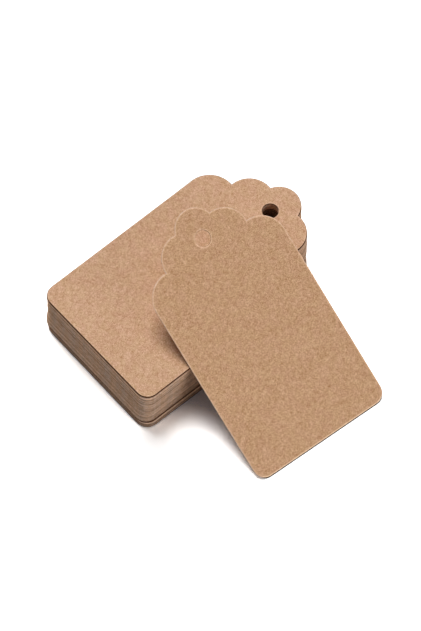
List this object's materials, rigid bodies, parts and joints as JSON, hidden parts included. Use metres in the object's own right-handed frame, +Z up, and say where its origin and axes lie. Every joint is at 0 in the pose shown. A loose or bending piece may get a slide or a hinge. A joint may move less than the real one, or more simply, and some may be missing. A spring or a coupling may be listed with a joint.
{
  "type": "kraft paper gift tags",
  "caption": "Stack of identical scalloped kraft card tags, each with a punched string hole, and one more tag leaning on the stack.",
  "frame": {"origin": "on the surface the stack stands on, in the middle of the bottom tag's underside", "axes": "+Z up; +Y along the stack, from the tags' straight end to their scalloped end; +X towards the foot of the leaning tag"},
  "size_m": [0.0907, 0.0849, 0.0422],
  "materials": {
    "kraft_card": "matte"
  },
  "bodies": {
    "stack_base": {"stack_tag_01": "kraft_card"},
    "tag_02": {"stack_tag_02": "kraft_card"},
    "tag_03": {"stack_tag_03": "kraft_card"},
    "tag_04": {"stack_tag_04": "kraft_card"},
    "tag_05": {"stack_tag_05": "kraft_card"},
    "tag_06": {"stack_tag_06": "kraft_card"},
    "tag_07": {"stack_tag_07": "kraft_card"},
    "tag_08": {"stack_tag_08": "kraft_card"},
    "tag_09": {"stack_tag_09": "kraft_card"},
    "tag_10": {"stack_tag_10": "kraft_card"},
    "tag_11": {"stack_tag_11": "kraft_card"},
    "tag_12": {"stack_tag_12": "kraft_card"},
    "tag_13": {"stack_tag_13": "kraft_card"},
    "tag_14": {"stack_tag_14": "kraft_card"},
    "tag_15": {"stack_tag_15": "kraft_card"},
    "tag_16": {"stack_tag_16": "kraft_card"},
    "tag_17": {"stack_tag_17": "kraft_card"},
    "tag_18": {"stack_tag_18": "kraft_card"},
    "tag_19": {"stack_tag_19": "kraft_card"},
    "tag_20": {"stack_tag_20": "kraft_card"},
    "tag_21": {"stack_tag_21": "kraft_card"},
    "tag_22": {"stack_tag_22": "kraft_card"},
    "tag_23": {"stack_tag_23": "kraft_card"},
    "tag_24": {"stack_tag_24": "kraft_card"},
    "tag_25": {"stack_tag_25": "kraft_card"},
    "tag_26": {"stack_tag_26": "kraft_card"},
    "tag_27": {"stack_tag_27": "kraft_card"},
    "tag_28": {"stack_tag_28": "kraft_card"},
    "tag_29": {"stack_tag_29": "kraft_card"},
    "tag_30": {"stack_tag_30": "kraft_card"},
    "tag_31": {"stack_tag_31": "kraft_card"},
    "tag_32": {"stack_tag_32": "kraft_card"},
    "tag_33": {"stack_tag_33": "kraft_card"},
    "tag_34": {"stack_tag_34": "kraft_card"},
    "tag_35": {"stack_tag_35": "kraft_card"},
    "tag_36": {"stack_tag_36": "kraft_card"},
    "tag_37": {"stack_tag_37": "kraft_card"},
    "tag_38": {"stack_tag_38": "kraft_card"},
    "tag_39": {"stack_tag_39": "kraft_card"},
    "tag_40": {"stack_tag_40": "kraft_card"},
    "tag_41": {"stack_tag_41": "kraft_card"},
    "tag_42": {"stack_tag_42": "kraft_card"},
    "tag_43": {"stack_tag_43": "kraft_card"},
    "tag_44": {"stack_tag_44": "kraft_card"},
    "tag_45": {"stack_tag_45": "kraft_card"},
    "tag_46": {"stack_tag_46": "kraft_card"},
    "tag_47": {"stack_tag_47": "kraft_card"},
    "tag_48": {"stack_tag_48": "kraft_card"},
    "tag_49": {"stack_tag_49": "kraft_card"},
    "lean": {"leaning_tag": "kraft_card"}
  },
  "joints": [
    {"name": "lean_raise", "type": "hinge", "parent": "stack_base", "child": "lean", "pos_m": [0.0632, -0.002, 0], "axis": [0.0698, 0.9976, 0], "range_deg": [0, 60]},
    {"name": "draw_02", "type": "slide", "parent": "stack_base", "child": "tag_02", "axis": [0, -1, 0], "range_m": [0, 0.09]},
    {"name": "draw_03", "type": "slide", "parent": "stack_base", "child": "tag_03", "axis": [0, -1, 0], "range_m": [0, 0.09]},
    {"name": "draw_04", "type": "slide", "parent": "stack_base", "child": "tag_04", "axis": [0, -1, 0], "range_m": [0, 0.09]},
    {"name": "draw_05", "type": "slide", "parent": "stack_base", "child": "tag_05", "axis": [0, -1, 0], "range_m": [0, 0.09]},
    {"name": "draw_06", "type": "slide", "parent": "stack_base", "child": "tag_06", "axis": [0, -1, 0], "range_m": [0, 0.09]},
    {"name": "draw_07", "type": "slide", "parent": "stack_base", "child": "tag_07", "axis": [0, -1, 0], "range_m": [0, 0.09]},
    {"name": "draw_08", "type": "slide", "parent": "stack_base", "child": "tag_08", "axis": [0, -1, 0], "range_m": [0, 0.09]},
    {"name": "draw_09", "type": "slide", "parent": "stack_base", "child": "tag_09", "axis": [0, -1, 0], "range_m": [0, 0.09]},
    {"name": "draw_10", "type": "slide", "parent": "stack_base", "child": "tag_10", "axis": [0, -1, 0], "range_m": [0, 0.09]},
    {"name": "draw_11", "type": "slide", "parent": "stack_base", "child": "tag_11", "axis": [0, -1, 0], "range_m": [0, 0.09]},
    {"name": "draw_12", "type": "slide", "parent": "stack_base", "child": "tag_12", "axis": [0, -1, 0], "range_m": [0, 0.09]},
    {"name": "draw_13", "type": "slide", "parent": "stack_base", "child": "tag_13", "axis": [0, -1, 0], "range_m": [0, 0.09]},
    {"name": "draw_14", "type": "slide", "parent": "stack_base", "child": "tag_14", "axis": [0, -1, 0], "range_m": [0, 0.09]},
    {"name": "draw_15", "type": "slide", "parent": "stack_base", "child": "tag_15", "axis": [0, -1, 0], "range_m": [0, 0.09]},
    {"name": "draw_16", "type": "slide", "parent": "stack_base", "child": "tag_16", "axis": [0, -1, 0], "range_m": [0, 0.09]},
    {"name": "draw_17", "type": "slide", "parent": "stack_base", "child": "tag_17", "axis": [0, -1, 0], "range_m": [0, 0.09]},
    {"name": "draw_18", "type": "slide", "parent": "stack_base", "child": "tag_18", "axis": [0, -1, 0], "range_m": [0, 0.09]},
    {"name": "draw_19", "type": "slide", "parent": "stack_base", "child": "tag_19", "axis": [0, -1, 0], "range_m": [0, 0.09]},
    {"name": "draw_20", "type": "slide", "parent": "stack_base", "child": "tag_20", "axis": [0, -1, 0], "range_m": [0, 0.09]},
    {"name": "draw_21", "type": "slide", "parent": "stack_base", "child": "tag_21", "axis": [0, -1, 0], "range_m": [0, 0.09]},
    {"name": "draw_22", "type": "slide", "parent": "stack_base", "child": "tag_22", "axis": [0, -1, 0], "range_m": [0, 0.09]},
    {"name": "draw_23", "type": "slide", "parent": "stack_base", "child": "tag_23", "axis": [0, -1, 0], "range_m": [0, 0.09]},
    {"name": "draw_24", "type": "slide", "parent": "stack_base", "child": "tag_24", "axis": [0, -1, 0], "range_m": [0, 0.09]},
    {"name": "draw_25", "type": "slide", "parent": "stack_base", "child": "tag_25", "axis": [0, -1, 0], "range_m": [0, 0.09]},
    {"name": "draw_26", "type": "slide", "parent": "stack_base", "child": "tag_26", "axis": [0, -1, 0], "range_m": [0, 0.09]},
    {"name": "draw_27", "type": "slide", "parent": "stack_base", "child": "tag_27", "axis": [0, -1, 0], "range_m": [0, 0.09]},
    {"name": "draw_28", "type": "slide", "parent": "stack_base", "child": "tag_28", "axis": [0, -1, 0], "range_m": [0, 0.09]},
    {"name": "draw_29", "type": "slide", "parent": "stack_base", "child": "tag_29", "axis": [0, -1, 0], "range_m": [0, 0.09]},
    {"name": "draw_30", "type": "slide", "parent": "stack_base", "child": "tag_30", "axis": [0, -1, 0], "range_m": [0, 0.09]},
    {"name": "draw_31", "type": "slide", "parent": "stack_base", "child": "tag_31", "axis": [0, -1, 0], "range_m": [0, 0.09]},
    {"name": "draw_32", "type": "slide", "parent": "stack_base", "child": "tag_32", "axis": [0, -1, 0], "range_m": [0, 0.09]},
    {"name": "draw_33", "type": "slide", "parent": "stack_base", "child": "tag_33", "axis": [0, -1, 0], "range_m": [0, 0.09]},
    {"name": "draw_34", "type": "slide", "parent": "stack_base", "child": "tag_34", "axis": [0, -1, 0], "range_m": [0, 0.09]},
    {"name": "draw_35", "type": "slide", "parent": "stack_base", "child": "tag_35", "axis": [0, -1, 0], "range_m": [0, 0.09]},
    {"name": "draw_36", "type": "slide", "parent": "stack_base", "child": "tag_36", "axis": [0, -1, 0], "range_m": [0, 0.09]},
    {"name": "draw_37", "type": "slide", "parent": "stack_base", "child": "tag_37", "axis": [0, -1, 0], "range_m": [0, 0.09]},
    {"name": "draw_38", "type": "slide", "parent": "stack_base", "child": "tag_38", "axis": [0, -1, 0], "range_m": [0, 0.09]},
    {"name": "draw_39", "type": "slide", "parent": "stack_base", "child": "tag_39", "axis": [0, -1, 0], "range_m": [0, 0.09]},
    {"name": "draw_40", "type": "slide", "parent": "stack_base", "child": "tag_40", "axis": [0, -1, 0], "range_m": [0, 0.09]},
    {"name": "draw_41", "type": "slide", "parent": "stack_base", "child": "tag_41", "axis": [0, -1, 0], "range_m": [0, 0.09]},
    {"name": "draw_42", "type": "slide", "parent": "stack_base", "child": "tag_42", "axis": [0, -1, 0], "range_m": [0, 0.09]},
    {"name": "draw_43", "type": "slide", "parent": "stack_base", "child": "tag_43", "axis": [0, -1, 0], "range_m": [0, 0.09]},
    {"name": "draw_44", "type": "slide", "parent": "stack_base", "child": "tag_44", "axis": [0, -1, 0], "range_m": [0, 0.09]},
    {"name": "draw_45", "type": "slide", "parent": "stack_base", "child": "tag_45", "axis": [0, -1, 0], "range_m": [0, 0.09]},
    {"name": "draw_46", "type": "slide", "parent": "stack_base", "child": "tag_46", "axis": [0, -1, 0], "range_m": [0, 0.09]},
    {"name": "draw_47", "type": "slide", "parent": "stack_base", "child": "tag_47", "axis": [0, -1, 0], "range_m": [0, 0.09]},
    {"name": "draw_48", "type": "slide", "parent": "stack_base", "child": "tag_48", "axis": [0, -1, 0], "range_m": [0, 0.09]},
    {"name": "draw_49", "type": "slide", "parent": "stack_base", "child": "tag_49", "axis": [0, -1, 0], "range_m": [0, 0.09]}
  ]
}
